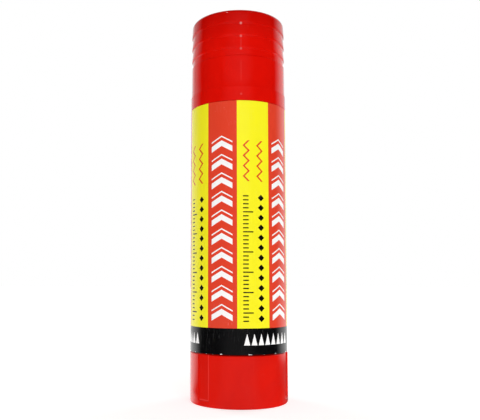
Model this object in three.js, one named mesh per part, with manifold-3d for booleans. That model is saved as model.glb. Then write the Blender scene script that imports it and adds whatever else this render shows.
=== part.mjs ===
// Twist-up glue stick: push-on cap, barrel with its label, twist knob, screw spindle and carrier.
// Millimetres, +Z up. The origin is the middle of the face that the stick stands on.
import * as THREE from "three";
import { mergeVertices } from "three/addons/utils/BufferGeometryUtils.js";
import Module from "manifold-3d";

const wasm = await Module();
wasm.setup();

// Clearances between the mouldings
const RUNNING_GAP = 0.3; // what turns or slides, and the knob under the barrel
const CAP_FIT = 0.3; // cap bore over the neck, plug in the mouth, rim over the barrel
const GLUE_GAP = 0.3; // cast glue to the mouldings round it
const LABEL_GAP = 0.05; // glued label to the barrel
const SHANK_FIT = 0.1; // hexagonal shank in its socket

// Barrel: spigot in the knob, body under the label, neck under the cap
const BODY_RADIUS = 12.75;
const BODY_WALL = 2.65;
const SPIGOT_RISE = 1.7; // from the knob's floor up to the spigot
const SNAP_PROUD = 0.4; // bead that holds the knob on
const SNAP_HEIGHT = 1.2;
const SNAP_RISE = 0.8; // plain stretch below the bead
const WEB_THICKNESS = 1.4;
const NECK_WALL = 0.9;
const NECK_HEIGHT = 19.55;
const NECK_LIP = 0.4; // rounding of the mouth
const NECK_BEAD = 0.12; // cap friction bead, proud of the neck
const NECK_BEAD_HEIGHT = 0.9;
const NECK_BEAD_RISE = 2.6;

// Ribs in the bore that keep the carrier from turning
const RIB_COUNT = 4;
const RIB_WIDTH = 0.9;
const RIB_PROUD = 0.5;
const RIB_DROP = 3.2; // from the mouth down to the rib tops

// Label
const LABEL_HEIGHT = 63.55;
const LABEL_THICKNESS = 0.12;
const LABEL_SEAM = 0.6; // open seam at the back

// Twist knob, a cup with a socket in its middle
const KNOB_PROUD = 0.05; // how far it stands out past the label
const KNOB_HEIGHT = 12.85;
const KNOB_WALL = 1.25;
const KNOB_FLOOR = 1.5;
const KNOB_EDGE = 0.45; // rounding of the lower outer edge
const KNOB_LIP = 0.25; // rounding of the upper outer edge
const FOOT_WIDTH = 2.4; // flat ring that it stands on
const FOOT_HEIGHT = 0.7;
const FOOT_SLOPE = 0.5;
const SOCKET_WALL = 1.7;
const SOCKET_HEIGHT = 3.2;

// Upright panels sunk in the knob, open at the top
const PANEL_COUNT = 3;
const PANEL_WIDTH = 3.85;
const PANEL_DEPTH = 0.3;
const PANEL_BASE = 1.5;
const PANEL_ANGLE = -44.0; // degrees from the front, positive towards +X

// Cap. Its outer radii are given as how far they lie inside the label's.
const CAP_HEADROOM = 3.25; // from the neck's rim up to the roof
const CAP_ROOF = 1.4;
const CAP_RIM_BAND = 3.25; // full width, up to the flare
const CAP_RIM_EDGE = 0.2; // rounding of the rim
const CAP_FLARE = 3.0; // height over which the rim band draws in to the wall
const CAP_INSET_LOW = 0.2; // just above the flare
const CAP_INSET_HIGH = 0.22; // just under the rings
const CAP_INSET_TOP = 0.38;
const CAP_TOP_EDGE = 1.05;
const CAP_LEAD_IN = 0.3; // chamfer inside the rim
const PLUG_WALL = 0.9;
const PLUG_LENGTH = 4.1;

// Grip rings: sharp underside, short upright land, long slope up to the next ring
const RING_COUNT = 3;
const RING_PITCH = 3.35;
const RING_INSET_GROOVE = 0.45;
const RING_INSET_CREST = 0.2;
const RING_STEP = 0.3; // height of the sharp underside
const RING_LAND = 0.35;
const RING_ZONE_DROP = 12.35; // from the cap's top down to the end of the plain wall
const FIRST_GROOVE = 1.75; // height of the groove under the lowest ring

// Screw spindle, left-handed, so that turning the knob clockwise from below raises the glue
const THREAD_LEAD = 5.0;
const THREAD_CORE = 2.3;
const THREAD_DEPTH = 0.9;
const THREAD_LAND = 1.0; // width of the crest along the axis
const THREAD_FLANK = 0.5; // width of each flank along the axis
const SHANK_ACROSS = 4.6; // hexagon, across its flats
const SHANK_LENGTH = 3.0;
const JOURNAL_PROUD = 0.3; // past the thread, so that the thread passes through the web
const FLANGE_PROUD = 1.2; // past the web's bore
const FLANGE_THICKNESS = 1.2;
const SPINDLE_TIP = 1.2;

// Carrier
const HUB_WALL = 1.7;
const HUB_HEIGHT = 8.0;
const CARRIER_WALL = 1.2;
const CARRIER_FLOOR = 1.2;
const CUP_DEPTH = 6.5;
const MOUTH_STOP = 3.2; // from the mouth down to the cup's rim, fully raised

// Glue
const GLUE_HEADROOM = 0.4; // under the cap's plug ring
const GLUE_BEVEL = 0.6;
const GLUE_TIP_ROOM = 1.0; // hole above the spindle's tip

// Facets
const SIDES = 60;
const INNER_SIDES = 48;
const THREAD_STEPS = 18; // to one turn
const ARC_STEPS = 2;
const MERGE_TOLERANCE = 1e-4;
const CUT_MARGIN = 1.0; // how far a cutter reaches past what it cuts
const JOINT_DEPTH = 0.3; // how far shapes of one moulding reach into each other

// Radii that follow
const boreRadius = BODY_RADIUS - BODY_WALL;
const neckRadius = boreRadius + NECK_WALL;
const labelInner = BODY_RADIUS - LABEL_THICKNESS;
const labelSeat = labelInner - LABEL_GAP;
const capBore = neckRadius + CAP_FIT;
const plugRadius = boreRadius - CAP_FIT;
const knobRadius = BODY_RADIUS + KNOB_PROUD;
const knobBore = knobRadius - KNOB_WALL;
const spigotRadius = knobBore - RUNNING_GAP;
const snapRadius = spigotRadius + SNAP_PROUD;
const threadCrest = THREAD_CORE + THREAD_DEPTH;
const journalRadius = threadCrest + JOURNAL_PROUD;
const webBore = journalRadius + RUNNING_GAP;
const flangeRadius = webBore + FLANGE_PROUD;
const shankCorner = SHANK_ACROSS / Math.sqrt(3);
const socketCorner = (SHANK_ACROSS + 2 * SHANK_FIT) / Math.sqrt(3);
const socketRadius = socketCorner + SOCKET_WALL;
const ribTipRadius = boreRadius - RIB_PROUD;
const grooveRadius = ribTipRadius - RUNNING_GAP;
const grooveWidth = RIB_WIDTH + 2 * RUNNING_GAP;
const carrierRadius = boreRadius - RUNNING_GAP;
const cupRadius = carrierRadius - CARRIER_WALL;
const hubRadius = threadCrest + RUNNING_GAP + HUB_WALL;
const glueRadius = boreRadius - GLUE_GAP;
const glueHole = threadCrest + GLUE_GAP;

// Heights that follow, from the foot upwards
const knobFloorTop = FOOT_HEIGHT + KNOB_FLOOR;
const socketTop = knobFloorTop + SOCKET_HEIGHT;
const flangeTop = socketTop + FLANGE_THICKNESS;
const webBase = flangeTop + RUNNING_GAP;
const webTop = webBase + WEB_THICKNESS;
const spigotBase = knobFloorTop + SPIGOT_RISE;
const snapBase = spigotBase + SNAP_RISE;
const bodyBase = KNOB_HEIGHT + RUNNING_GAP;
const labelTop = bodyBase + LABEL_HEIGHT;
const shoulderTop = labelTop + LABEL_GAP;
const neckTop = shoulderTop + NECK_HEIGHT;
const capBase = shoulderTop + CAP_FIT;
const capRoof = neckTop + CAP_HEADROOM;
const capTop = capRoof + CAP_ROOF;
const plugBase = capRoof - PLUG_LENGTH;
const carrierBase = webTop + RUNNING_GAP;
const hubTop = carrierBase + HUB_HEIGHT;
const cupRim = hubTop + CUP_DEPTH;
const travel = neckTop - MOUTH_STOP - cupRim; // 70 mm, 14 turns of the knob
const threadTop = hubTop + travel;
const spindleTop = threadTop + SPINDLE_TIP;
const glueBase = hubTop + GLUE_GAP;
const glueTop = plugBase - GLUE_HEADROOM;

function plastic(color, roughness) {
  return new THREE.MeshStandardMaterial({ color, roughness, metalness: 0 });
}

const glossRed = plastic(0xd91a10, 0.22);
const knobRed = plastic(0xdc2015, 0.28);
const barrelRed = plastic(0xd42012, 0.3);
const labelPrint = plastic(0xe3452c, 0.35);
const naturalWhite = plastic(0xe9e7df, 0.45);
const glueWhite = plastic(0xf3f1e6, 0.6);

function closedSolid(geometry) {
  geometry.deleteAttribute("normal");
  geometry.deleteAttribute("uv");
  const merged = mergeVertices(geometry, MERGE_TOLERANCE);
  const corners = merged.index.array;
  const kept = [];
  for (let i = 0; i < corners.length; i += 3) {
    const [a, b, c] = corners.slice(i, i + 3);
    if (a !== b && b !== c && c !== a) kept.push(a, b, c); // drops the slivers at a pole
  }
  const vertProperties = merged.attributes.position.array;
  return new wasm.Manifold(new wasm.Mesh({ numProp: 3, vertProperties, triVerts: new Uint32Array(kept) }));
}

function addPiece(group, name, solid, material) {
  const { numProp, vertProperties, triVerts } = solid.getMesh();
  const places = new THREE.InterleavedBuffer(vertProperties, numProp);
  const geometry = new THREE.BufferGeometry();
  geometry.setAttribute("position", new THREE.InterleavedBufferAttribute(places, 3, 0));
  geometry.setIndex(new THREE.BufferAttribute(triVerts, 1));
  const faceted = geometry.toNonIndexed();
  faceted.computeVertexNormals();
  const mesh = new THREE.Mesh(faceted, material);
  mesh.name = name;
  group.add(mesh);
}

// Turns a profile of (radius, height), drawn anticlockwise, about the Z axis.
function revolve(profile, sides) {
  const turned = new THREE.LatheGeometry(profile.getPoints(ARC_STEPS), sides);
  return closedSolid(turned.rotateX(Math.PI / 2));
}

// A box that stands on height base, centred at a radius and an angle from the front.
function standingBox(radius, degrees, depth, width, base, height) {
  const box = new THREE.BoxGeometry(width, depth, height);
  box.translate(0, -radius, base + height / 2);
  return closedSolid(box.rotateZ(THREE.MathUtils.degToRad(degrees)));
}

function aroundAxis(count, makeOne) {
  return Array.from({ length: count }, (_, i) => makeOne((i * 360) / count));
}

// A left-handed screw from one height to another. grow widens it, for the hole in a nut.
function screw(low, high, grow) {
  const core = THREAD_CORE + grow;
  const crest = threadCrest + grow;
  const halfLand = THREAD_LAND / 2 + grow;
  const section = [
    [core, -halfLand - THREAD_FLANK],
    [crest, -halfLand],
    [crest, halfLand],
    [core, halfLand + THREAD_FLANK],
  ];
  const perTurn = section.length;
  const firstTurn = Math.floor(low / THREAD_LEAD) - 1;
  const lastTurn = Math.ceil(high / THREAD_LEAD) + 1;
  const steps = (lastTurn - firstTurn) * THREAD_STEPS;
  const places = [];
  for (let step = 0; step <= steps; step++) {
    const angle = (-2 * Math.PI * step) / THREAD_STEPS;
    const height = (firstTurn + step / THREAD_STEPS) * THREAD_LEAD;
    for (const [radius, rise] of section)
      places.push(radius * Math.cos(angle), radius * Math.sin(angle), height + rise);
  }
  // Past the end of its section, a row goes on with the same row one turn higher.
  const corner = (step, j) => (j < perTurn ? step * perTurn + j : (step + THREAD_STEPS) * perTurn);
  const corners = [];
  for (let step = 0; step < steps; step++) {
    const strips = step < steps - THREAD_STEPS ? perTurn : perTurn - 1;
    for (let j = 0; j < strips; j++) {
      const [a, b] = [corner(step, j), corner(step + 1, j)];
      const [c, d] = [corner(step + 1, j + 1), corner(step, j + 1)];
      corners.push(a, c, b, a, d, c);
    }
  }
  // Each end is closed by a fan from the axis, outside the stretch that is kept.
  const fan = (rim, height) => {
    const middle = places.push(0, 0, height) / 3 - 1;
    rim.forEach((from, i) => corners.push(middle, from, rim[(i + 1) % rim.length]));
  };
  const firstRim = [];
  for (let step = 0; step <= THREAD_STEPS; step++) firstRim.push(corner(step, 0));
  for (let j = perTurn - 1; j > 0; j--) firstRim.push(corner(0, j));
  fan(firstRim, (firstTurn - 1) * THREAD_LEAD);
  const lastRim = [];
  for (let step = steps; step >= steps - THREAD_STEPS; step--) lastRim.push(corner(step, perTurn - 1));
  for (let j = 0; j < perTurn - 1; j++) lastRim.push(corner(steps, j));
  fan(lastRim, (lastTurn + 1) * THREAD_LEAD);

  const geometry = new THREE.BufferGeometry();
  geometry.setAttribute("position", new THREE.Float32BufferAttribute(places, 3));
  geometry.setIndex(corners);
  const stretch = new THREE.CylinderGeometry(2 * crest, 2 * crest, high - low, 6);
  stretch.rotateX(Math.PI / 2).translate(0, 0, (low + high) / 2);
  return closedSolid(geometry).intersect(closedSolid(stretch));
}

function hexagonBar(cornerRadius, low, high) {
  const bar = new THREE.CylinderGeometry(cornerRadius, cornerRadius, high - low, 6);
  return closedSolid(bar.rotateX(Math.PI / 2).translate(0, 0, (low + high) / 2));
}

function baseKnob() {
  const footInner = knobRadius - KNOB_EDGE - FOOT_WIDTH;
  const snapGroove = snapRadius + RUNNING_GAP;
  const profile = new THREE.Path()
    .moveTo(0, FOOT_HEIGHT)
    .lineTo(footInner - FOOT_SLOPE, FOOT_HEIGHT)
    .lineTo(footInner, 0)
    .lineTo(knobRadius - KNOB_EDGE, 0)
    .absarc(knobRadius - KNOB_EDGE, KNOB_EDGE, KNOB_EDGE, -Math.PI / 2, 0)
    .lineTo(knobRadius, KNOB_HEIGHT - KNOB_LIP)
    .absarc(knobRadius - KNOB_LIP, KNOB_HEIGHT - KNOB_LIP, KNOB_LIP, 0, Math.PI / 2)
    .lineTo(knobBore, KNOB_HEIGHT)
    .lineTo(knobBore, snapBase + SNAP_HEIGHT + RUNNING_GAP)
    .lineTo(snapGroove, snapBase + SNAP_HEIGHT + RUNNING_GAP)
    .lineTo(snapGroove, snapBase - RUNNING_GAP)
    .lineTo(knobBore, snapBase - RUNNING_GAP)
    .lineTo(knobBore, knobFloorTop)
    .lineTo(socketRadius, knobFloorTop)
    .lineTo(socketRadius, socketTop)
    .lineTo(0, socketTop);
  let knob = revolve(profile, SIDES);
  const socketBase = socketTop - SHANK_LENGTH - SHANK_FIT;
  knob = knob.subtract(hexagonBar(socketCorner, socketBase, socketTop + CUT_MARGIN));
  // A panel's flat floor lies its depth below the knob's surface at the panel's own edges.
  const edgeRadius = Math.sqrt(knobRadius ** 2 - (PANEL_WIDTH / 2) ** 2);
  const middle = edgeRadius - PANEL_DEPTH + CUT_MARGIN / 2;
  const height = KNOB_HEIGHT - PANEL_BASE + CUT_MARGIN;
  const panel = (turn) =>
    standingBox(middle, PANEL_ANGLE + turn, CUT_MARGIN, PANEL_WIDTH, PANEL_BASE, height);
  return aroundAxis(PANEL_COUNT, panel).reduce((left, cut) => left.subtract(cut), knob);
}

function barrel() {
  const beadBase = shoulderTop + NECK_BEAD_RISE;
  const snapSlope = SNAP_HEIGHT / 2;
  const profile = new THREE.Path()
    .moveTo(webBore, webBase)
    .lineTo(boreRadius, webBase)
    .lineTo(boreRadius, spigotBase)
    .lineTo(spigotRadius, spigotBase)
    .lineTo(spigotRadius, snapBase)
    .lineTo(snapRadius, snapBase + snapSlope)
    .lineTo(snapRadius, snapBase + SNAP_HEIGHT)
    .lineTo(spigotRadius, snapBase + SNAP_HEIGHT)
    .lineTo(spigotRadius, bodyBase)
    .lineTo(labelSeat, bodyBase)
    .lineTo(labelSeat, shoulderTop)
    .lineTo(neckRadius, shoulderTop)
    .lineTo(neckRadius, beadBase)
    .lineTo(neckRadius + NECK_BEAD, beadBase + NECK_BEAD_HEIGHT / 2)
    .lineTo(neckRadius, beadBase + NECK_BEAD_HEIGHT)
    .lineTo(neckRadius, neckTop - NECK_LIP)
    .absarc(neckRadius - NECK_LIP, neckTop - NECK_LIP, NECK_LIP, 0, Math.PI / 2)
    .lineTo(boreRadius, neckTop)
    .lineTo(boreRadius, webTop)
    .lineTo(webBore, webTop)
    .lineTo(webBore, webBase);
  const ribDepth = RIB_PROUD + JOINT_DEPTH;
  const ribBase = webTop - JOINT_DEPTH;
  const ribHeight = neckTop - RIB_DROP - ribBase;
  const rib = (turn) =>
    standingBox(ribTipRadius + ribDepth / 2, turn, ribDepth, RIB_WIDTH, ribBase, ribHeight);
  return aroundAxis(RIB_COUNT, rib).reduce((tube, one) => tube.add(one), revolve(profile, SIDES));
}

function label() {
  const halfSeam = LABEL_SEAM / 2 / BODY_RADIUS;
  const sheet = new THREE.Shape();
  sheet.absarc(0, 0, BODY_RADIUS, Math.PI / 2 + halfSeam, (5 * Math.PI) / 2 - halfSeam);
  sheet.absarc(0, 0, labelInner, (5 * Math.PI) / 2 - halfSeam, Math.PI / 2 + halfSeam, true);
  const wrap = new THREE.ExtrudeGeometry(sheet, {
    depth: LABEL_HEIGHT,
    bevelEnabled: false,
    curveSegments: SIDES / 2,
  });
  return closedSolid(wrap.translate(0, 0, bodyBase));
}

function cap() {
  const zoneBase = capTop - RING_ZONE_DROP;
  const rimTop = capBase + CAP_RIM_BAND;
  const flareTop = rimTop + CAP_FLARE;
  const lowRadius = BODY_RADIUS - CAP_INSET_LOW;
  const topRadius = BODY_RADIUS - CAP_INSET_TOP;
  const grooveFloor = BODY_RADIUS - RING_INSET_GROOVE;
  const ringCrest = BODY_RADIUS - RING_INSET_CREST;
  const profile = new THREE.Path()
    .moveTo(0, capRoof)
    .lineTo(plugRadius - PLUG_WALL, capRoof)
    .lineTo(plugRadius - PLUG_WALL, plugBase)
    .lineTo(plugRadius - CAP_LEAD_IN, plugBase)
    .lineTo(plugRadius, plugBase + CAP_LEAD_IN)
    .lineTo(plugRadius, capRoof)
    .lineTo(capBore, capRoof)
    .lineTo(capBore, capBase + CAP_LEAD_IN)
    .lineTo(capBore + CAP_LEAD_IN, capBase)
    .lineTo(BODY_RADIUS - CAP_RIM_EDGE, capBase)
    .absarc(BODY_RADIUS - CAP_RIM_EDGE, capBase + CAP_RIM_EDGE, CAP_RIM_EDGE, -Math.PI / 2, 0)
    .lineTo(BODY_RADIUS, rimTop)
    .quadraticCurveTo(lowRadius, rimTop + CAP_FLARE / 3, lowRadius, flareTop)
    .lineTo(BODY_RADIUS - CAP_INSET_HIGH, zoneBase)
    .lineTo(grooveFloor, zoneBase + RING_STEP / 2);
  for (let i = 0; i < RING_COUNT; i++) {
    const ringBase = zoneBase + FIRST_GROOVE + i * RING_PITCH;
    profile
      .lineTo(grooveFloor, ringBase)
      .lineTo(ringCrest, ringBase + RING_STEP)
      .lineTo(ringCrest, ringBase + RING_STEP + RING_LAND);
  }
  profile
    .lineTo(topRadius, capTop - CAP_TOP_EDGE)
    .absarc(topRadius - CAP_TOP_EDGE, capTop - CAP_TOP_EDGE, CAP_TOP_EDGE, 0, Math.PI / 2)
    .lineTo(0, capTop);
  return revolve(profile, SIDES);
}

function spindle() {
  const flange = new THREE.Path()
    .moveTo(0, socketTop)
    .lineTo(flangeRadius, socketTop)
    .lineTo(flangeRadius, flangeTop)
    .lineTo(journalRadius, flangeTop)
    .lineTo(journalRadius, webTop)
    .lineTo(0, webTop);
  const tip = new THREE.Path()
    .moveTo(0, threadTop - JOINT_DEPTH)
    .lineTo(THREAD_CORE - JOINT_DEPTH, threadTop - JOINT_DEPTH)
    .lineTo(THREAD_CORE - JOINT_DEPTH, threadTop)
    .lineTo(THREAD_CORE / 2, spindleTop)
    .lineTo(0, spindleTop);
  const shank = hexagonBar(shankCorner, socketTop - SHANK_LENGTH, socketTop + JOINT_DEPTH);
  return screw(webTop - JOINT_DEPTH, threadTop, 0)
    .add(revolve(flange, THREAD_STEPS * 2))
    .add(revolve(tip, THREAD_STEPS))
    .add(shank);
}

// The grooves that clear the barrel's ribs, as cutters over a stretch of the bore.
function ribGrooves(low, high) {
  const depth = RIB_PROUD + RUNNING_GAP + CUT_MARGIN;
  const groove = (turn) =>
    standingBox(grooveRadius + depth / 2, turn, depth, grooveWidth, low, high - low);
  return aroundAxis(RIB_COUNT, groove);
}

function carrierCup() {
  const floorBase = hubTop - CARRIER_FLOOR;
  const profile = new THREE.Path()
    .moveTo(0, carrierBase)
    .lineTo(hubRadius, carrierBase)
    .lineTo(hubRadius, floorBase)
    .lineTo(cupRadius, floorBase)
    .lineTo(cupRadius, carrierBase)
    .lineTo(carrierRadius, carrierBase)
    .lineTo(carrierRadius, cupRim)
    .lineTo(cupRadius, cupRim)
    .lineTo(cupRadius, hubTop)
    .lineTo(0, hubTop);
  const nut = screw(carrierBase - CUT_MARGIN, hubTop + CUT_MARGIN, RUNNING_GAP);
  return ribGrooves(carrierBase - CUT_MARGIN, cupRim + CUT_MARGIN)
    .concat(nut)
    .reduce((left, cut) => left.subtract(cut), revolve(profile, INNER_SIDES));
}

function glueStick() {
  const holeTop = spindleTop + GLUE_TIP_ROOM;
  const ledge = cupRim + GLUE_GAP;
  const profile = new THREE.Path()
    .moveTo(0, holeTop)
    .lineTo(glueHole, holeTop)
    .lineTo(glueHole, glueBase)
    .lineTo(cupRadius - GLUE_GAP, glueBase)
    .lineTo(cupRadius - GLUE_GAP, ledge)
    .lineTo(glueRadius, ledge)
    .lineTo(glueRadius, glueTop - GLUE_BEVEL)
    .lineTo(glueRadius - GLUE_BEVEL, glueTop)
    .lineTo(0, glueTop);
  return ribGrooves(ledge - CUT_MARGIN, glueTop + CUT_MARGIN).reduce(
    (left, cut) => left.subtract(cut),
    revolve(profile, INNER_SIDES),
  );
}

const glueStickAssembly = new THREE.Group();
addPiece(glueStickAssembly, "base_knob", baseKnob(), knobRed);
addPiece(glueStickAssembly, "barrel", barrel(), barrelRed);
addPiece(glueStickAssembly, "label", label(), labelPrint);
addPiece(glueStickAssembly, "cap", cap(), glossRed);
addPiece(glueStickAssembly, "spindle", spindle(), naturalWhite);
addPiece(glueStickAssembly, "carrier_cup", carrierCup(), naturalWhite);
addPiece(glueStickAssembly, "glue_stick", glueStick(), glueWhite);

export default glueStickAssembly;
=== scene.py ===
import math

import bpy
from mathutils import Euler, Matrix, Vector


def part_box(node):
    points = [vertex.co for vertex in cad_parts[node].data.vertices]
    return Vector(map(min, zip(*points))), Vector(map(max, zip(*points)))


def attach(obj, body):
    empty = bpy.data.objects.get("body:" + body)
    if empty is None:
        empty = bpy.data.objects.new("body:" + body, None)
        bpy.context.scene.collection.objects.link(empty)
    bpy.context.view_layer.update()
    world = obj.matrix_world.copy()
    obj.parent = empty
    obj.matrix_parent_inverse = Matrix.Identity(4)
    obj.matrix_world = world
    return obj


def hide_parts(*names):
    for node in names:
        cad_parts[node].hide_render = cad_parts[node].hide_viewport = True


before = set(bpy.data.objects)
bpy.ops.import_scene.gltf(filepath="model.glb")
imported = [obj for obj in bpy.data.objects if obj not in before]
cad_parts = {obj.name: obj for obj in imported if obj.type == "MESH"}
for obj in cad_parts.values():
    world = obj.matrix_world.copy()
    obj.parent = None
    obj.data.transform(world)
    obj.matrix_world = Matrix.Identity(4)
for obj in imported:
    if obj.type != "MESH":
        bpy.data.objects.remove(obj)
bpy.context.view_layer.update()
mm = 0.001

# Points closer than this are merged. A cutter reaches a millimetre past what it cuts.
weldReach = 0.001 * mm
cutterReach = 1
creaseAngle = math.radians(32)

# Corner roundings that the pieces share, in millimetres
broadRound, softRound, mediumRound = 0.4, 0.3, 0.2
smallRound, fineRound, tinyRound = 0.15, 0.1, 0.08


# Places taken from the frame, in millimetres

def nodeSpan(name):
    low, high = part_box(name)
    return {"radius": high.x / mm, "base": low.z / mm, "top": high.z / mm}


capSpan = nodeSpan("cap")
barrelSpan = nodeSpan("barrel")
labelSpan = nodeSpan("label")
knobSpan = nodeSpan("base_knob")
spindleSpan = nodeSpan("spindle")
carrierSpan = nodeSpan("carrier_cup")
glueSpan = nodeSpan("glue_stick")
print("frame loaded, object is", round(knobSpan["radius"] * 2, 2), "mm across")


# Modelling helpers

def roundedOutline(corners):
    # A corner is (radius, height), or (radius, height, rounding) where it becomes an arc.
    points = []
    for i, corner in enumerate(corners):
        here = Vector(corner[:2])
        if len(corner) == 2:
            points.append(here)
            continue
        rounding = corner[2]
        toBefore = (Vector(corners[i - 1][:2]) - here).normalized()
        toAfter = (Vector(corners[(i + 1) % len(corners)][:2]) - here).normalized()
        half = toBefore.angle(toAfter) / 2
        middle = here + (toBefore + toAfter).normalized() * rounding / math.sin(half)
        first = (here + toBefore * rounding / math.tan(half) - middle).normalized()
        last = (here + toAfter * rounding / math.tan(half) - middle).normalized()
        arcSteps = max(2, math.ceil((math.pi - 2 * half) * (2 + 2 * math.sqrt(rounding))))
        for step in range(arcSteps + 1):
            points.append(middle + first.slerp(last, step / arcSteps) * rounding)
    return points


def drawOutline(name, points):
    # One vertex at the first point, extruded from point to point in the XZ plane.
    bpy.ops.object.select_all(action="DESELECT")
    bpy.ops.mesh.primitive_plane_add(size=mm)
    piece = bpy.context.object
    piece.name = name
    bpy.ops.object.mode_set(mode="EDIT")
    bpy.ops.mesh.merge(type="CENTER")
    bpy.ops.transform.translate(value=(points[0].x * mm, 0, points[0].y * mm))
    for before, after in zip(points, points[1:]):
        step = (after - before) * mm
        bpy.ops.mesh.extrude_vertices_move(TRANSFORM_OT_translate={"value": (step.x, 0, step.y)})
    return piece


def tidyShell():
    bpy.ops.mesh.select_all(action="SELECT")
    bpy.ops.mesh.remove_doubles(threshold=weldReach)
    bpy.ops.mesh.normals_make_consistent(inside=False)
    bpy.ops.object.mode_set(mode="OBJECT")


def turned(name, corners, closed=False, steps=160):
    # An outline turned about the Z axis. A closed one is a ring with no pole.
    points = roundedOutline(corners)
    if closed:
        points.append(points[0])
    piece = drawOutline(name, points)
    bpy.ops.mesh.select_all(action="SELECT")
    bpy.ops.mesh.spin(steps=steps, angle=2 * math.pi, center=(0, 0, 0), axis=(0, 0, 1))
    tidyShell()
    return piece


def selectVertices(piece, indices):
    # Goes into edit mode with only these vertices selected.
    bpy.ops.object.select_all(action="DESELECT")
    piece.select_set(True)
    bpy.context.view_layer.objects.active = piece
    bpy.ops.object.mode_set(mode="EDIT")
    bpy.ops.mesh.select_all(action="DESELECT")
    bpy.ops.object.mode_set(mode="OBJECT")
    for index in indices:
        piece.data.vertices[index].select = True
    bpy.ops.object.mode_set(mode="EDIT")


def applyModifier(piece, kind, **settings):
    bpy.ops.object.select_all(action="DESELECT")
    piece.select_set(True)
    bpy.context.view_layer.objects.active = piece
    modifier = piece.modifiers.new(kind.lower(), kind)
    for name, value in settings.items():
        setattr(modifier, name, value)
    bpy.ops.object.modifier_apply(modifier=modifier.name)


def combine(piece, other, operation):
    applyModifier(piece, "BOOLEAN", operation=operation, solver="EXACT", object=other)
    bpy.data.objects.remove(other)


def standingBar(degrees, inner, outer, width, base, top, rounding=0):
    # An upright bar between two radii, at an angle from the front towards +X.
    turn = math.radians(degrees)
    middle = (inner + outer) / 2 * mm
    bpy.ops.object.select_all(action="DESELECT")
    bpy.ops.mesh.primitive_cube_add(
        size=mm,
        location=(middle * math.sin(turn), -middle * math.cos(turn), (base + top) / 2 * mm),
        rotation=(0, 0, turn),
        scale=(width, outer - inner, top - base),
    )
    bar = bpy.context.object
    bpy.ops.object.transform_apply(location=True, rotation=True, scale=True)
    if rounding:
        applyModifier(bar, "BEVEL", width=rounding * mm, segments=3)
    return bar


def hexagonBar(corner, base, top):
    bpy.ops.object.select_all(action="DESELECT")
    bpy.ops.mesh.primitive_cylinder_add(
        vertices=6,
        radius=corner * mm,
        depth=(top - base) * mm,
        location=(0, 0, (base + top) / 2 * mm),
    )
    bar = bpy.context.object
    bpy.ops.object.transform_apply(location=True, rotation=True, scale=True)
    return bar


def finishPiece(piece, body, node, slotName, *materials):
    bpy.ops.object.select_all(action="DESELECT")
    piece.select_set(True)
    bpy.context.view_layer.objects.active = piece
    bpy.ops.object.shade_smooth_by_angle(angle=creaseAngle)
    applyModifier(piece, "WEIGHTED_NORMAL", keep_sharp=True)
    piece.data.materials.clear()
    for material in materials:
        piece.data.materials.append(material)
    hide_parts(node)
    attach(piece, body)
    print("finished", piece.name, len(piece.data.polygons), "faces")


# Material helpers

def addNode(tree, kind, inputs=None, **settings):
    # inputs gives a socket's value, or the output that is linked to it.
    node = tree.nodes.new(kind)
    for name, value in settings.items():
        setattr(node, name, value)
    for name, value in (inputs or {}).items():
        if isinstance(value, bpy.types.NodeSocket):
            tree.links.new(value, node.inputs[name])
        else:
            node.inputs[name].default_value = value
    return node


def maths(tree, operation, *values):
    node = addNode(tree, "ShaderNodeMath", dict(enumerate(values)), operation=operation)
    return node.outputs[0]


def times(tree, first, *others):
    for other in others:
        first = maths(tree, "MULTIPLY", first, other)
    return first


def plus(tree, first, *others):
    for other in others:
        first = maths(tree, "ADD", first, other)
    return first


def vectorMaths(tree, operation, *values):
    inputs = dict(enumerate(values))
    return addNode(tree, "ShaderNodeVectorMath", inputs, operation=operation).outputs


def ramp(tree, value, low, high, toLow=0.0, toHigh=1.0):
    node = addNode(tree, "ShaderNodeMapRange", {
        "Value": value, "From Min": low, "From Max": high, "To Min": toLow, "To Max": toHigh,
    })
    return node.outputs["Result"]


def objectPlace(tree):
    return addNode(tree, "ShaderNodeTexCoord").outputs["Object"]


def axesOf(tree, vector):
    return addNode(tree, "ShaderNodeSeparateXYZ", {"Vector": vector}).outputs


def noise(tree, vector, settings):
    return addNode(tree, "ShaderNodeTexNoise", {"Vector": vector, **settings}).outputs["Fac"]


def rareDots(tree, vector, dots):
    # A round dot in some of the cells
    cells = addNode(tree, "ShaderNodeTexVoronoi", {"Vector": vector, "Scale": dots["scale"]})
    draw = addNode(tree, "ShaderNodeSeparateColor", {"Color": cells.outputs["Color"]})
    chosen = ramp(tree, draw.outputs[dots["channel"]], *dots["chosen"])
    return times(tree, ramp(tree, cells.outputs["Distance"], *dots["size"]), chosen)


def mixColour(tree, share, first, second):
    # Inputs 6 and 7 of a Mix node are its two colours, and output 2 is the mixed one.
    node = addNode(tree, "ShaderNodeMix", {"Factor": share}, data_type="RGBA")
    for socket, value in ((node.inputs[6], first), (node.inputs[7], second)):
        if isinstance(value, bpy.types.NodeSocket):
            tree.links.new(value, socket)
        else:
            socket.default_value = (*value, 1)
    return node.outputs[2]


def newGroup(name, inputs, outputs):
    group = bpy.data.node_groups.new(name, "ShaderNodeTree")
    for socketName, value in inputs.items():
        socket = group.interface.new_socket(
            socketName, in_out="INPUT", socket_type="NodeSocketFloat"
        )
        socket.default_value = value
    for socketName in outputs:
        group.interface.new_socket(socketName, in_out="OUTPUT", socket_type="NodeSocketFloat")
    return group, group.nodes.new("NodeGroupInput"), group.nodes.new("NodeGroupOutput")


def useGroup(tree, group, **values):
    node = tree.nodes.new("ShaderNodeGroup")
    node.node_tree = group
    for name, value in values.items():
        node.inputs[name].default_value = value
    return node.outputs


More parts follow.
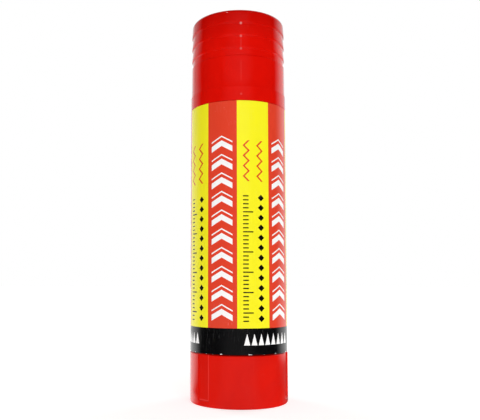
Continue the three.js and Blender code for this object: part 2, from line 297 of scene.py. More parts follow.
skinWaves = {
    "swell": {"Scale": 260, "Detail": 1},
    "grain": {"Scale": 2600, "Detail": 2},
}
handlingMarks = {
    "smudge": {"Scale": 95, "Detail": 4, "Distortion": 1.2},
    "smudged": (0.42, 0.68),
    "hair": {"Scale": 1500, "Detail": 2, "Distortion": 0.6},
    "hairStretch": (1, 1, 0.09),
    "hairLine": (0.012, 0.003),
    "patch": {"Scale": 210, "Detail": 1},
    "patched": (0.52, 0.62),
    "specks": {"scale": 420, "channel": "Red", "chosen": (0.90, 0.92), "size": (0.085, 0.05)},
}


def mouldedSkinGroup(waves):
    # Fine waviness of a moulded skin: a slow swell with a close grain on it
    group, given, result = newGroup("mouldedSkin", {"grain": 1.0, "swell": 1.0}, ["height"])
    place = objectPlace(group)
    swell = times(group, noise(group, place, waves["swell"]), given.outputs["swell"])
    grain = times(group, noise(group, place, waves["grain"]), given.outputs["grain"])
    group.links.new(plus(group, swell, grain), result.inputs["height"])
    return group


def handlingGroup(marks):
    # Marks of handling: finger smudges, hairline scratches up the stick and specks of dust
    group, given, result = newGroup(
        "handling", {"scratches": 0.5, "specks": 0.5}, ["smudge", "scratch", "speck"]
    )
    place = objectPlace(group)
    drawn = addNode(group, "ShaderNodeMapping", {"Vector": place, "Scale": marks["hairStretch"]})
    hair = noise(group, drawn.outputs["Vector"], marks["hair"])
    offMiddle = maths(group, "ABSOLUTE", maths(group, "SUBTRACT", hair, 0.5))
    line = ramp(group, offMiddle, *marks["hairLine"])
    where = ramp(group, noise(group, place, marks["patch"]), *marks["patched"])
    found = {
        "smudge": ramp(group, noise(group, place, marks["smudge"]), *marks["smudged"]),
        "scratch": times(group, line, where, given.outputs["scratches"]),
        "speck": times(group, rareDots(group, place, marks["specks"]), given.outputs["specks"]),
    }
    for name, value in found.items():
        group.links.new(value, result.inputs[name])
    return group


mouldedSkin = mouldedSkinGroup(skinWaves)
handling = handlingGroup(handlingMarks)


def startMaterial(name):
    material = bpy.data.materials.new(name)
    material.use_nodes = True
    return material, material.node_tree, material.node_tree.nodes["Principled BSDF"]


def connectBump(tree, shader, height, distance):
    bump = addNode(tree, "ShaderNodeBump", {
        "Height": height, "Strength": 1.0, "Distance": distance * mm,
    })
    tree.links.new(bump.outputs["Normal"], shader.inputs["Normal"])


def paintedGlintMarks(tree, marks):
    # Painted highlights: a faint pale streak runs up the cap's front and back, with a brighter
    # painted glint dot at each edge it crosses.
    axes = axesOf(tree, objectPlace(tree))
    across = maths(tree, "MULTIPLY_ADD", axes["Y"], marks["turn"], axes["X"])
    across = maths(tree, "ABSOLUTE", across)
    flat = addNode(tree, "ShaderNodeCombineXYZ", {"X": across, "Z": axes["Z"]}).outputs["Vector"]
    lineWidth = [reach * mm for reach in marks["width"]]
    glintDotSize = [reach * mm for reach in marks["glintDotSize"]]
    fading = marks["fading"]
    total = 0
    for low, high, strength in marks["stretches"]:
        rise = ramp(tree, axes["Z"], low * mm, (low + fading) * mm, 0, strength)
        fall = ramp(tree, axes["Z"], (high - fading) * mm, high * mm, 1, 0)
        line = times(tree, rise, fall, ramp(tree, across, *lineWidth, 1, 0))
        total = plus(tree, total, line)
    for height, strength in marks["glintDots"]:
        away = vectorMaths(tree, "DISTANCE", flat, (0, 0, height * mm))["Value"]
        total = plus(tree, total, ramp(tree, away, *glintDotSize, strength, 0))
    return total


def paintedPanelHighlights(tree, rim):
    # Painted highlights: the knob's panels are a lighter red along one upright side and along
    # their lower edge.
    axes = axesOf(tree, objectPlace(tree))
    bearing = maths(tree, "ARCTAN2", axes["X"], times(tree, axes["Y"], -1.0))
    halfSpacing = math.pi / knobShape["panelCount"]
    offMiddle = maths(tree, "SUBTRACT", bearing, math.radians(knobShape["panelAngle"]))
    fromMiddle = maths(tree, "SINE", maths(tree, "WRAP", offMiddle, halfSpacing, -halfSpacing))
    across = times(tree, fromMiddle, knobSpan["radius"] * mm)
    half = (knobShape["panelWidth"] / 2 - rim["inset"]) * mm
    base = (knobShape["panelBase"] + rim["raise"]) * mm
    near, far = [reach * mm for reach in rim["width"]]
    offSide = maths(tree, "ABSOLUTE", maths(tree, "SUBTRACT", across, half))
    offBase = maths(tree, "ABSOLUTE", maths(tree, "SUBTRACT", axes["Z"], base))
    above = ramp(tree, axes["Z"], base - far, base)
    inside = ramp(tree, maths(tree, "ABSOLUTE", across), half, half + far, 1, 0)
    side = times(tree, ramp(tree, offSide, near, far, 1, 0), above)
    lower = times(tree, ramp(tree, offBase, near, far, 1, 0), inside)
    return times(tree, maths(tree, "MAXIMUM", side, lower), rim["strength"])


def finishSurface(tree, shader, look, marks, scuffs):
    # Roughness and relief of a skin with marks of handling
    dullest = look["roughness"] + look["smudgeDulling"]
    dulled = ramp(tree, marks["smudge"], 0, 1, look["roughness"], dullest)
    rough = maths(tree, "MULTIPLY_ADD", scuffs, look["scuffDulling"], dulled)
    tree.links.new(rough, shader.inputs["Roughness"])
    skin = useGroup(tree, mouldedSkin, grain=look["grain"], swell=look["swell"])
    height = maths(tree, "MULTIPLY_ADD", marks["scratch"], -look["scratchDepth"], skin["height"])
    connectBump(tree, shader, height, look["bumpDepth"])
    shader.inputs["IOR"].default_value = look["ior"]


def glossyPlastic(name, look):
    # Glossy coloured plastic, a little deeper where smudged and paler on scratches and specks; a
    # look may also add painted shade towards the top and painted highlights
    material, tree, shader = startMaterial(name)
    marks = useGroup(tree, handling, scratches=look["scratches"], specks=look["specks"])
    colour = mixColour(tree, marks["smudge"], look["colour"], look["deepColour"])
    layers = [(marks["scratch"], look["paleColour"]), (marks["speck"], look["dustColour"])]
    # Painted shade: the colour darkens towards the cap's top.
    if "paintedShadeTowardsTop" in look:
        height = axesOf(tree, objectPlace(tree))["Z"]
        share = ramp(tree, height, *[place * mm for place in look["paintedShadeTowardsTop"]])
        layers.insert(0, (share, look["paintedShadeColour"]))
    # Painted highlights on the cap: a pale streak with brighter glint dots at the ring edges.
    if "paintedGlints" in look:
        line = look["paintedGlints"]
        layers.append((paintedGlintMarks(tree, line), line["glintColour"]))
    # Painted highlights along the knob's panel edges.
    if "panelEdgeHighlight" in look:
        rim = look["panelEdgeHighlight"]
        layers.append((paintedPanelHighlights(tree, rim), rim["colour"]))
    for share, laidOn in layers:
        colour = mixColour(tree, share, colour, laidOn)
    tree.links.new(colour, shader.inputs["Base Color"])
    scuffs = maths(tree, "MAXIMUM", marks["scratch"], marks["speck"])
    finishSurface(tree, shader, look, marks, scuffs)
    return material


redPlasticLook = {
    "colour": (0.757, 0.0052, 0.0017),
    "deepColour": (0.71, 0.0042, 0.0013),
    "paleColour": (0.79, 0.055, 0.035),
    "dustColour": (0.86, 0.34, 0.28),
    "roughness": 0.05,
    "smudgeDulling": 0.03,
    "scuffDulling": 0.3,
    "scratches": 0.12,
    "specks": 0.3,
    "scratchDepth": 0.6,
    "grain": 0.25,
    "swell": 1.0,
    "bumpDepth": 0.0012,
    "ior": 1.5,
}
capPlasticLook = {
    **redPlasticLook,
    # Painted highlights: a pale streak up the cap's front and back, with glint dots at the ring
    # edges and the rim.
    "paintedGlints": {
        "turn": 0.064,
        "width": (0.05, 0.2),
        "stretches": ((81.5, 87.5, 0.022), (90.4, 93.4, 0.03)),
        "fading": 0.8,
        "glintDots": ((78.4, 0.08), (90.4, 0.15), (93.7, 0.21), (97.1, 0.35)),
        "glintDotSize": (0.1, 0.4),
        "glintColour": (0.95, 0.75, 0.72),
    },
    # Painted shade: the cap's colour darkens towards its top.
    "paintedShadeTowardsTop": (92.5, 100.5),
    "paintedShadeColour": (0.55, 0.0032, 0.0013),
}
barrelPlasticLook = {
    **redPlasticLook,
    "colour": (0.69, 0.0080, 0.0040),
    "deepColour": (0.65, 0.0065, 0.0032),
    "roughness": 0.18,
}
naturalPlasticLook = {
    **redPlasticLook,
    "colour": (0.80, 0.79, 0.74),
    "deepColour": (0.76, 0.745, 0.68),
    "paleColour": (0.86, 0.855, 0.82),
    "dustColour": (0.70, 0.69, 0.64),
    "roughness": 0.36,
    "grain": 0.6,
}

capPlastic = glossyPlastic("capPlastic", capPlasticLook)
barrelPlastic = glossyPlastic("barrelPlastic", barrelPlasticLook)
naturalPlastic = glossyPlastic("naturalPlastic", naturalPlasticLook)
print("plastics of cap, barrel and inner pieces made")


# Cap

capShape = {
    "bore": 11.3,
    "rimDrop": 0.25,
    "rimEdge": 0.12,
    "roof": 1.4,
    "rimBand": 3.25,
    "flare": 3.0,
    "flareBend": 1 / 3,
    "flareSteps": 8,
    "insetLow": 0.2,
    "insetHigh": 0.22,
    "insetTop": 0.38,
    "topEdge": 1.05,
    "ringCount": 3,
    "ringPitch": 3.35,
    "grooveInset": 0.45,
    "crestInset": 0.2,
    "ringStep": 0.3,
    "ringLand": 0.35,
    "zoneDrop": 12.35,
    "firstGroove": 1.75,
    "sharp": 0.05,
    "plugOuter": 9.8,
    "plugWall": 0.9,
    "plugLength": 4.1,
    "leadIn": 0.3,
    "dishRadius": 8.2,
    "dishDepth": 0.25,
    "dishSlope": 0.6,
    "gateRadius": 0.7,
    "gateRise": 0.15,
    "gateMiddle": 0.12,
}


def makeCap(shape):
    base, top, outer = capSpan["base"], capSpan["top"], capSpan["radius"]
    bore, plugOuter, leadIn = shape["bore"], shape["plugOuter"], shape["leadIn"]
    rim = base - shape["rimDrop"]
    roof = top - shape["roof"]
    plugBase = roof - shape["plugLength"]
    plugInner = plugOuter - shape["plugWall"]
    corners = [
        (0, roof),
        (plugInner, roof, softRound),
        (plugInner, plugBase, mediumRound),
        (plugOuter - leadIn, plugBase, fineRound),
        (plugOuter, plugBase + leadIn, mediumRound),
        (plugOuter, roof, softRound),
        (bore, roof, softRound),
        (bore, rim + leadIn, mediumRound),
        (bore + leadIn, rim, fineRound),
        (outer, rim, shape["rimEdge"]),
    ]
    # The rim band draws in to the wall along a curve.
    rimTop = base + shape["rimBand"]
    wallLow = outer - shape["insetLow"]
    for step in range(shape["flareSteps"] + 1):
        t = step / shape["flareSteps"]
        rise = 2 * t * (1 - t) * shape["flareBend"] + t * t
        flareRadius = wallLow + (outer - wallLow) * (1 - t) ** 2
        corners.append((flareRadius, rimTop + shape["flare"] * rise))

    # Each grip ring has a sharp underside and a short land, and slopes back to the next groove.
    zoneBase = top - shape["zoneDrop"]
    groove = outer - shape["grooveInset"]
    crest = outer - shape["crestInset"]
    sharp = shape["sharp"]
    corners += [
        (outer - shape["insetHigh"], zoneBase, sharp),
        (groove, zoneBase + shape["ringStep"] / 2, sharp),
    ]
    for ring in range(shape["ringCount"]):
        ringBase = zoneBase + shape["firstGroove"] + ring * shape["ringPitch"]
        landBase = ringBase + shape["ringStep"]
        corners += [
            (groove, ringBase, sharp),
            (crest, landBase, sharp),
            (crest, landBase + shape["ringLand"], sharp),
        ]
    dish = top - shape["dishDepth"]
    gateRise = shape["gateRise"]
    corners += [
        (outer - shape["insetTop"], top, shape["topEdge"]),
        (shape["dishRadius"] + shape["dishSlope"], top, broadRound),
        (shape["dishRadius"], dish, broadRound),
        (shape["gateRadius"] + gateRise, dish, tinyRound),
        (shape["gateRadius"], dish + gateRise, tinyRound),
        (0, dish + shape["gateMiddle"]),
    ]
    cap = turned("capShell", corners)
    finishPiece(cap, "cap", "cap", "cap_red", capPlastic)


makeCap(capShape)


# Barrel

barrelShape = {
    "bore": 10.1,
    "neck": 11.0,
    "spigot": 11.25,
    "spigotBase": 3.9,
    "snapProud": 0.4,
    "snapHeight": 1.2,
    "snapRise": 0.8,
    "webBore": 3.8,
    "webBase": 6.9,
    "webTop": 8.3,
    "labelSeat": 12.58,
    "labelRadius": 12.75,
    "shoulderDrop": 19.55,
    "beadRise": 2.6,
    "beadHeight": 0.9,
    "beadProud": 0.12,
    "beadRounding": 0.6,
    "ribCount": 4,
    "ribWidth": 0.9,
    "ribTip": 9.6,
    "ribRoot": 0.3,
    "ribDrop": 3.2,
}


def makeBarrel(shape):
    top = barrelSpan["top"]
    shoulder = top - shape["shoulderDrop"]
    spigot, neck = shape["spigot"], shape["neck"]
    snapBase = shape["spigotBase"] + shape["snapRise"]
    snapTop = snapBase + shape["snapHeight"]
    snap = spigot + shape["snapProud"]
    bead = shoulder + shape["beadRise"]
    beadTop = bead + shape["beadHeight"]
    corners = [
        (shape["webBore"], shape["webBase"], mediumRound),
        (shape["bore"], shape["webBase"], broadRound),
        (shape["bore"], shape["spigotBase"], mediumRound),
        (spigot, shape["spigotBase"], softRound),
        (spigot, snapBase, softRound),
        (snap, snapBase + shape["snapHeight"] / 2, smallRound),
        (snap, snapTop, fineRound),
        (spigot, snapTop, fineRound),
        (spigot, labelSpan["base"], mediumRound),
        (shape["labelSeat"], labelSpan["base"], fineRound),
        (shape["labelSeat"], shoulder, fineRound),
        (neck, shoulder, mediumRound),
        (neck, bead, softRound),
        (neck + shape["beadProud"], bead + shape["beadHeight"] / 2, shape["beadRounding"]),
        (neck, beadTop, softRound),
        (neck, top, broadRound),
        (shape["bore"], top, mediumRound),
        (shape["bore"], shape["webTop"], broadRound),
        (shape["webBore"], shape["webTop"], mediumRound),
    ]
    barrel = turned("barrelTube", corners, closed=True)
    for rib in range(shape["ribCount"]):
        bar = standingBar(
            rib * 360 / shape["ribCount"],
            shape["ribTip"],
            shape["bore"] + shape["ribRoot"],
            shape["ribWidth"],
            shape["webTop"] - shape["ribRoot"],
            top - shape["ribDrop"],
            rounding=smallRound,
        )
        combine(barrel, bar, "UNION")
    finishPiece(barrel, "barrel", "barrel", "barrel_red", barrelPlastic)


makeBarrel(barrelShape)


# Label: a printed sheet bent round the barrel, with its ends lapped at the back

labelSheet = {
    "length": 81.6,
    "thickness": 0.12,
    "columns": 240,
    "rows": 48,
    "lapLift": 0.12,
    "lapSlope": (1.3, 0.9, 0.5),
    "stripeStart": -8.18,
    "redWidth": 7.87,
    "widerBy": 0.85,
    "stripePitch": 16.39,
    "bandHeight": 6.4,
    "red": (0.785, 0.052, 0.019),
    "yellow": (0.97, 0.895, 0.012),
    "black": (0.0012, 0.0012, 0.0018),
    "white": (0.985, 0.975, 0.965),
    "deepRed": (0.76, 0.055, 0.015),
}
labelPrint = {
    "pastMiddle": (9.0, 10.0),
    "chevron": {"pitch": 4.7, "broad": (0.3, 1.75), "thin": (2.6, 2.95), "slant": 0.55},
    "chevronReach": 2.8,
    "chevronRows": (9.7, 56.4),
    "tick": {"pitch": 1.0, "width": 0.32, "every": 5.0, "from": 1.5, "to": 2.9, "longer": 1.2},
    "diamond": {"pitch": 2.5, "line": 6.2, "size": 0.85},
    "blackRows": (7.5, 40.0),
    "zigzag": {"swing": 1.3, "lines": (1.7, 5.2), "width": 0.27, "rows": (42.9, 53.3)},
    "triangle": {"start": 1.2, "pitch": 1.85, "count": 8, "slope": 0.27, "rows": (2.3, 5.1)},
    "triangleGroups": 3,
    "bare": {"Scale": 0.55, "Detail": 3},
    "bareMargin": (0.57, 0.66, 0.0, 0.22),
    "inkShade": {"Scale": 5, "Detail": 3},
    "fading": (0.35, 0.75, 0.0, 0.008),
    "scuffing": 0.2,
    "roughness": 0.16,
    "smudgeDulling": 0.1,
    "scuffDulling": 0.3,
    "scratches": 0.12,
    "specks": 0.3,
    "scratchDepth": 0.5,
    "grain": 0.3,
    "swell": 1.6,
    "bumpDepth": 0.006,
    "ior": 1.5,
}


def printedFilm(sheet, ink):
    material, tree, shader = startMaterial("printedFilm")
    height = labelSpan["top"] - labelSpan["base"]

    def calc(operation, *values):
        return maths(tree, operation, *values)

    def between(value, low, high):
        return calc("COMPARE", value, (low + high) / 2, (high - low) / 2)

    def both(first, second):
        return calc("MULTIPLY", first, second)

    ownMap = addNode(tree, "ShaderNodeTexCoord").outputs["UV"]
    centred = addNode(tree, "ShaderNodeMapping", {
        "Vector": ownMap,
        "Location": (-sheet["length"] / 2, 0, 0),
        "Scale": (sheet["length"], height, 1),
    })
    place = axesOf(tree, centred.outputs["Vector"])
    across, up = place["X"], place["Y"]
    fromStart = calc("SUBTRACT", across, sheet["stripeStart"])
    inPitch = calc("FLOORED_MODULO", fromStart, sheet["stripePitch"])
    # The red stripe in the middle of the front is a little narrower than those to its right.
    wideRed = sheet["redWidth"] + sheet["widerBy"]
    redEnd = ramp(tree, across, *ink["pastMiddle"], sheet["redWidth"], wideRed)
    isYellow = calc("GREATER_THAN", inPitch, redEnd)
    aboveBand = calc("GREATER_THAN", up, sheet["bandHeight"])

    # Red stripe: a column of white chevrons, a broad stroke and a thin one in turn
    offCentre = calc("ABSOLUTE", calc("SUBTRACT", inPitch, sheet["redWidth"] / 2))
    chevron = ink["chevron"]
    rising = calc("ADD", up, calc("MULTIPLY", offCentre, chevron["slant"]))
    inChevron = calc("FLOORED_MODULO", rising, chevron["pitch"])
    broad, thin = between(inChevron, *chevron["broad"]), between(inChevron, *chevron["thin"])
    reached = calc("LESS_THAN", offCentre, ink["chevronReach"])
    chevrons = both(calc("ADD", broad, thin), both(reached, between(rising, *ink["chevronRows"])))

    # Yellow stripe: a scale of black ticks beside a line of black diamonds
    tick, diamond = ink["tick"], ink["diamond"]
    inYellow = calc("SUBTRACT", inPitch, sheet["redWidth"])
    inTick = calc("FLOORED_MODULO", up, tick["pitch"])
    isLong = calc("LESS_THAN", calc("FLOORED_MODULO", up, tick["every"]), tick["pitch"])
    tickReach = calc("MULTIPLY_ADD", isLong, tick["longer"], tick["to"])
    ticks = both(calc("LESS_THAN", inTick, tick["width"]), calc("LESS_THAN", inYellow, tickReach))
    ticks = both(ticks, calc("GREATER_THAN", inYellow, tick["from"]))
    inDiamond = calc("FLOORED_MODULO", up, diamond["pitch"])
    inDiamond = calc("ABSOLUTE", calc("SUBTRACT", inDiamond, diamond["pitch"] / 2))
    fromLine = calc("ABSOLUTE", calc("SUBTRACT", inYellow, diamond["line"]))
    diamonds = calc("LESS_THAN", calc("ADD", inDiamond, fromLine), diamond["size"])
    blackMarks = both(calc("MAXIMUM", ticks, diamonds), between(up, *ink["blackRows"]))

    # Above them: two thin orange-red zigzags
    zigzag = ink["zigzag"]
    swing = calc("PINGPONG", up, zigzag["swing"])
    leftLine, rightLine = [
        calc("ABSOLUTE", calc("SUBTRACT", calc("SUBTRACT", inYellow, line), swing))
        for line in zigzag["lines"]
    ]
    zigzags = calc("LESS_THAN", calc("MINIMUM", leftLine, rightLine), zigzag["width"])
    zigzags = both(zigzags, between(up, *zigzag["rows"]))

    # Black band: groups of white triangles
    triangle = ink["triangle"]
    fromFirst = calc("SUBTRACT", across, triangle["start"])
    inRow = calc("FLOORED_MODULO", fromFirst, sheet["length"] / ink["triangleGroups"])
    fromTip = calc("FLOORED_MODULO", inRow, triangle["pitch"])
    fromTip = calc("ABSOLUTE", calc("SUBTRACT", fromTip, triangle["pitch"] / 2))
    slope = calc("MULTIPLY", calc("SUBTRACT", triangle["rows"][1], up), triangle["slope"])
    triangles = both(calc("LESS_THAN", fromTip, slope), between(up, *triangle["rows"]))
    inCount = calc("LESS_THAN", inRow, triangle["count"] * triangle["pitch"])
    triangles = both(triangles, inCount)

    # The lower edge of the sheet shows a thin uneven strip without ink.
    along = addNode(tree, "ShaderNodeCombineXYZ", {"X": across}).outputs["Vector"]
    bare = calc("LESS_THAN", up, ramp(tree, noise(tree, along, ink["bare"]), *ink["bareMargin"]))

    stripes = mixColour(tree, isYellow, sheet["red"], sheet["yellow"])
    onRed = calc("SUBTRACT", 1, isYellow)
    stripes = mixColour(tree, both(chevrons, onRed), stripes, sheet["white"])
    stripes = mixColour(tree, both(blackMarks, isYellow), stripes, sheet["black"])
    stripes = mixColour(tree, both(zigzags, isYellow), stripes, sheet["deepRed"])
    band = mixColour(tree, triangles, sheet["black"], sheet["white"])
    printed = mixColour(tree, aboveBand, band, stripes)
    printed = mixColour(tree, bare, printed, sheet["white"])

    marks = useGroup(tree, handling, scratches=ink["scratches"], specks=ink["specks"])
    inkShade = noise(tree, centred.outputs["Vector"], ink["inkShade"])
    faded = mixColour(tree, ramp(tree, inkShade, *ink["fading"]), printed, sheet["white"])
    scuffs = calc("MULTIPLY", marks["scratch"], ink["scuffing"])
    scuffed = mixColour(tree, scuffs, faded, sheet["white"])
    tree.links.new(scuffed, shader.inputs["Base Color"])
    finishSurface(tree, shader, ink, marks, marks["scratch"])
    return material


filmCoreLook = {
    "fibre": {"Scale": 1800, "Detail": 3},
    "colours": ((0.84, 0.83, 0.80), (0.93, 0.92, 0.90)),
    "roughness": (0.3, 0.7, 0.5, 0.65),
    "bumpDepth": 0.01,
}


def filmCore(look):
    # The white core of the film, which shows at its cut edges
    material, tree, shader = startMaterial("filmCore")
    fibre = noise(tree, objectPlace(tree), look["fibre"])
    tree.links.new(mixColour(tree, fibre, *look["colours"]), shader.inputs["Base Color"])
    tree.links.new(ramp(tree, fibre, *look["roughness"]), shader.inputs["Roughness"])
    connectBump(tree, shader, fibre, look["bumpDepth"])
    return material


def makeLabel(sheet):
    height = labelSpan["top"] - labelSpan["base"]
    radius = barrelShape["labelRadius"]
    bpy.ops.object.select_all(action="DESELECT")
    bpy.ops.mesh.primitive_grid_add(
        x_subdivisions=sheet["columns"],
        y_subdivisions=sheet["rows"],
        size=mm,
        rotation=(math.pi / 2, 0, 0),
    )
    label = bpy.context.object
    label.name = "wrapLabel"
    bpy.ops.object.transform_apply(location=True, rotation=True, scale=True)
    bpy.ops.object.mode_set(mode="EDIT")
    bpy.ops.transform.resize(value=(sheet["length"], 1, height))
    bpy.ops.object.mode_set(mode="OBJECT")

    overlap = sheet["length"] - 2 * math.pi * radius
    lapSteps = []
    for reach in sheet["lapSlope"]:
        edge = (sheet["length"] / 2 - overlap - reach) * mm
        lapSteps.append([vertex.index for vertex in label.data.vertices if vertex.co.x > edge])
    bend = sheet["length"] / radius
    applyModifier(label, "SIMPLE_DEFORM", deform_method="BEND", deform_axis="Z", angle=bend)
    # The end of the sheet is lifted in three small steps to lie on its start.
    lift = 1 + sheet["lapLift"] / radius / len(lapSteps)
    for lifted in lapSteps:
        selectVertices(label, lifted)
        bpy.ops.transform.resize(value=(lift, lift, 1), center_override=(0, radius * mm, 0))
        bpy.ops.object.mode_set(mode="OBJECT")
    selectVertices(label, range(len(label.data.vertices)))
    bpy.ops.transform.translate(value=(0, -radius * mm, (labelSpan["base"] + height / 2) * mm))
    bpy.ops.object.mode_set(mode="OBJECT")
    applyModifier(
        label, "SOLIDIFY", thickness=sheet["thickness"] * mm, offset=-1, use_even_offset=True,
        material_offset_rim=1,
    )
    film, core = printedFilm(sheet, labelPrint), filmCore(filmCoreLook)
    finishPiece(label, "barrel", "label", "label_print", film, core)


makeLabel(labelSheet)


# Knob

knobShape = {
    "bore": 11.55,
    "floorTop": 2.2,
    "footInner": 9.95,
    "footHeight": 0.7,
    "footSlope": 0.5,
    "socketRadius": 4.47,
    "socketTop": 5.4,
    "socketBase": 2.3,
    "socketCorner": 2.771,
    "grooveRadius": 11.95,
    "grooveBase": 4.4,
    "grooveTop": 6.2,
    "gateRadius": 1.3,
    "gateSlope": 0.15,
    "gateDepth": 0.2,
    "edge": 0.25,
    "bottomEdge": 0.45,
    "panelCount": 3,
    "panelAngle": -44.0,
    "panelWidth": 3.85,
    "panelDepth": 0.3,
    "panelBase": 1.5,
    "panelEdge": 0.26,
}
knobPlasticLook = {
    **redPlasticLook,
    "colour": (0.735, 0.0070, 0.0016),
    "deepColour": (0.69, 0.0055, 0.0012),
    "roughness": 0.12,
    "bumpDepth": 0.003,
    # Painted highlight along one upright side and the lower edge of each panel.
    "panelEdgeHighlight": {
        "inset": 0.3,
        "raise": 0.12,
        "width": (0.06, 0.3),
        "strength": 0.75,
        "colour": (1.0, 0.060, 0.048),
    },
}
knobPlastic = glossyPlastic("knobPlastic", knobPlasticLook)


def softenPanel(knob, shape, degrees):
    # The panel's outer edges are picked by their place: its two sides and its lower edge.
    turn = math.radians(degrees)
    sideways = Vector((math.cos(turn), math.sin(turn)))
    near = 0.004
    half = shape["panelWidth"] / 2
    outward = Vector((math.sin(turn), -math.cos(turn)))

    def onEdge(vertex):
        x, y, z = vertex.co / mm
        flat = Vector((x, y))
        offset = flat.dot(sideways)
        onSkin = abs(flat.length - knobSpan["radius"]) < near * 2 and flat.dot(outward) > 0
        atSide = abs(abs(offset) - half) < near and z > shape["panelBase"] - near
        atBase = abs(z - shape["panelBase"]) < near and abs(offset) < half + near
        return onSkin and (atSide or atBase)

    chosen = {vertex.index for vertex in knob.data.vertices if onEdge(vertex)}
    selectVertices(knob, [])
    bpy.ops.mesh.select_mode(type="EDGE")
    bpy.ops.object.mode_set(mode="OBJECT")
    for edge in knob.data.edges:
        edge.select = all(index in chosen for index in edge.vertices)
    bpy.ops.object.mode_set(mode="EDIT")
    bpy.ops.mesh.bevel(offset=shape["panelEdge"] * mm, segments=2, affect="EDGES")
    bpy.ops.mesh.select_mode(type="VERT")
    bpy.ops.object.mode_set(mode="OBJECT")


def makeKnob(shape):
    outer, top = knobSpan["radius"], knobSpan["top"]
    foot = shape["footHeight"]
    gate = foot - shape["gateDepth"]
    corners = [
        (0, gate),
        (shape["gateRadius"] - shape["gateSlope"], gate, tinyRound),
        (shape["gateRadius"], foot, tinyRound),
        (shape["footInner"] - shape["footSlope"], foot, softRound),
        (shape["footInner"], 0, shape["edge"]),
        (outer, 0, shape["bottomEdge"]),
        (outer, top, shape["edge"]),
        (shape["bore"], top, smallRound),
        (shape["bore"], shape["grooveTop"], fineRound),
        (shape["grooveRadius"], shape["grooveTop"], fineRound),
        (shape["grooveRadius"], shape["grooveBase"], fineRound),
        (shape["bore"], shape["grooveBase"], fineRound),
        (shape["bore"], shape["floorTop"], broadRound),
        (shape["socketRadius"], shape["floorTop"], softRound),
        (shape["socketRadius"], shape["socketTop"], smallRound),
        (0, shape["socketTop"]),
    ]
    knob = turned("twistKnob", corners)
    socketTop = shape["socketTop"] + cutterReach
    socket = hexagonBar(shape["socketCorner"], shape["socketBase"], socketTop)
    combine(knob, socket, "DIFFERENCE")
    floorRadius = math.sqrt(outer ** 2 - (shape["panelWidth"] / 2) ** 2) - shape["panelDepth"]
    for panel in range(shape["panelCount"]):
        degrees = shape["panelAngle"] + panel * 360 / shape["panelCount"]
        cutter = standingBar(
            degrees,
            floorRadius,
            outer + cutterReach,
            shape["panelWidth"],
            shape["panelBase"],
            top + cutterReach,
            rounding=fineRound,
        )
        combine(knob, cutter, "DIFFERENCE")
        softenPanel(knob, shape, degrees)
    finishPiece(knob, "knob", "base_knob", "knob_red", knobPlastic)


makeKnob(knobShape)


# Lead screw, left-handed, and its nut

threadShape = {
    "lead": 5.0,
    "core": 2.3,
    "depth": 0.9,
    "land": 1.0,
    "flank": 0.5,
    "edge": 0.12,
    "steps": 48,
}
spindleShape = {
    "threadBase": 8.0,
    "tipLength": 1.2,
    "journal": 3.5,
    "journalTop": 8.3,
    "flange": 5.0,
    "flangeBase": 5.4,
    "flangeTop": 6.6,
    "shankCorner": 2.656,
    "overlap": 0.3,
    "tipInset": 0.15,
}


def screwThread(name, base, top, grow=0.0):
    # One lead of the outline, repeated upwards by the Screw modifier and cut level at both ends.
    lead = threadShape["lead"]
    core = threadShape["core"] + grow
    crest = core + threadShape["depth"]
    halfLand = threadShape["land"] / 2 + grow
    foot = halfLand + threadShape["flank"]
    edge = threadShape["edge"]
    firstTurn = math.floor(base / lead) - 1
    turns = math.ceil(top / lead) + 1 - firstTurn
    start = firstTurn * lead
    outline = roundedOutline([
        (core, start - lead / 2),
        (core, start - foot, edge),
        (crest, start - halfLand, edge),
        (crest, start + halfLand, edge),
        (core, start + foot, edge),
        (core, start + lead / 2),
    ])
    thread = drawOutline(name, outline)
    bpy.ops.object.mode_set(mode="OBJECT")
    steps = threadShape["steps"]
    applyModifier(
        thread, "SCREW", axis="Z", angle=-2 * math.pi, screw_offset=lead * mm, iterations=turns,
        steps=steps, render_steps=steps, use_merge_vertices=True, merge_threshold=weldReach,
    )
    bpy.ops.object.mode_set(mode="EDIT")
    for height, below in ((base, True), (top, False)):
        bpy.ops.mesh.select_all(action="SELECT")
        bpy.ops.mesh.bisect(
            plane_co=(0, 0, height * mm), plane_no=(0, 0, 1), use_fill=True,
            clear_inner=below, clear_outer=not below, threshold=weldReach,
        )
    tidyShell()
    return thread


def makeSpindle(shape):
    core, overlap = threadShape["core"], shape["overlap"]
    tipRadius = core - shape["tipInset"]
    threadTop = spindleSpan["top"] - shape["tipLength"]
    spindle = screwThread("leadScrew", shape["threadBase"], threadTop)
    flange = turned("flange", [
        (0, shape["flangeBase"]),
        (shape["flange"], shape["flangeBase"], mediumRound),
        (shape["flange"], shape["flangeTop"], mediumRound),
        (shape["journal"], shape["flangeTop"], smallRound),
        (shape["journal"], shape["journalTop"], smallRound),
        (0, shape["journalTop"]),
    ], steps=96)
    tip = turned("tip", [
        (0, threadTop - overlap),
        (tipRadius, threadTop - overlap),
        (tipRadius, threadTop, smallRound),
        (core / 2, spindleSpan["top"], broadRound),
        (0, spindleSpan["top"]),
    ], steps=48)
    shankTop = shape["flangeBase"] + overlap
    shank = hexagonBar(shape["shankCorner"], spindleSpan["base"], shankTop)
    for part in (flange, tip, shank):
        combine(spindle, part, "UNION")
    finishPiece(spindle, "knob", "spindle", "natural_white", naturalPlastic)


makeSpindle(spindleShape)


# Carrier cup, which climbs the screw

carrierShape = {
    "cup": 8.6,
    "hub": 5.2,
    "hubTop": 16.6,
    "floor": 1.2,
    "cupRounding": 0.5,
    "threadGap": 0.3,
    "grooveRadius": 9.3,
    "grooveWidth": 1.5,
    "grooveRounding": 0.15,
}


